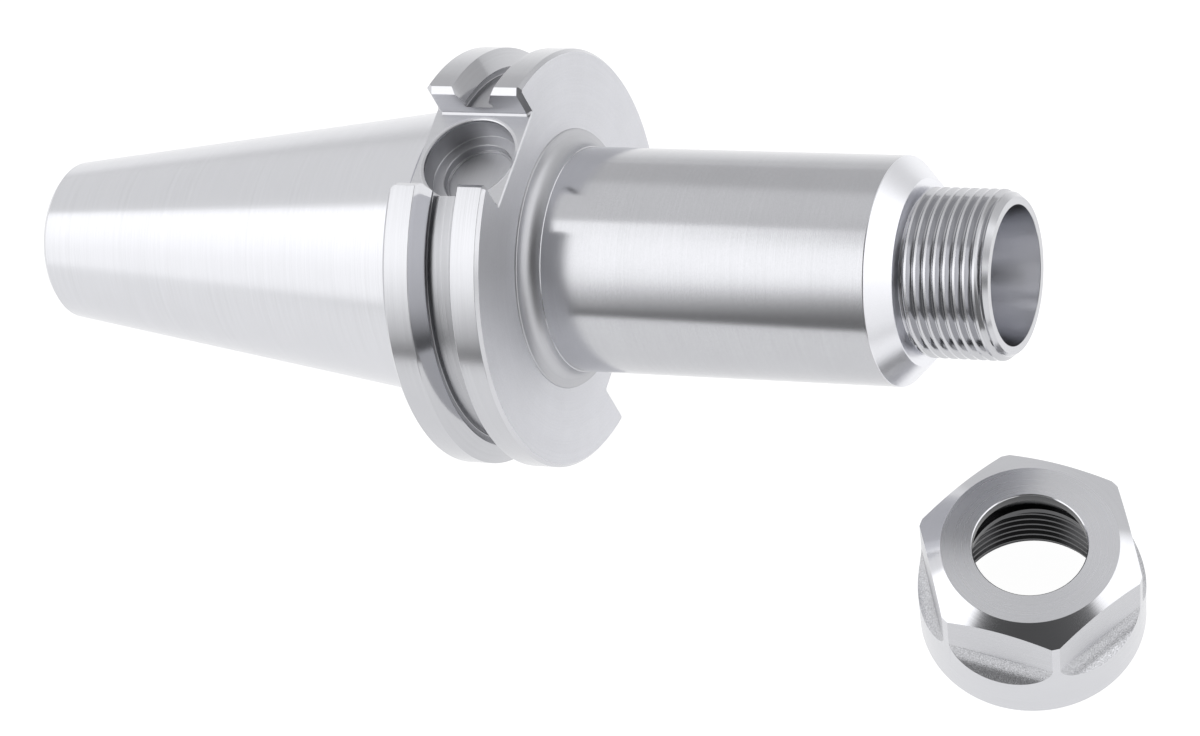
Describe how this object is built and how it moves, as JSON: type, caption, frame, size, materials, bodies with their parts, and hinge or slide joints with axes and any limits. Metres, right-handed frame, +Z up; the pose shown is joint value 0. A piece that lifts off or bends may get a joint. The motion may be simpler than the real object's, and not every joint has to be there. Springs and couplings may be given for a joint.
{
  "type": "collet chuck tool holder",
  "caption": "Steep-taper V-flange collet chuck with a threaded nose, lying on its tail, and its hexagon clamping nut taken off beside it.",
  "frame": {"origin": "centre of the set's footprint, on the floor that both pieces stand on", "axes": "+X from the chuck's tail toward its nose, level; +Z up. The chuck's own axis lies in the XZ plane and rises 14.2 degrees toward +X. The nut's axis is along +Z."},
  "size_m": [0.1814, 0.0752, 0.0631],
  "materials": {
    "ground_steel": "satin ground and turned, bright",
    "nut_steel": "lapped face, polished cone, satin base"
  },
  "bodies": {
    "root": {"holder_body": "ground_steel", "clamping_nut": "nut_steel"}
  },
  "joints": []
}
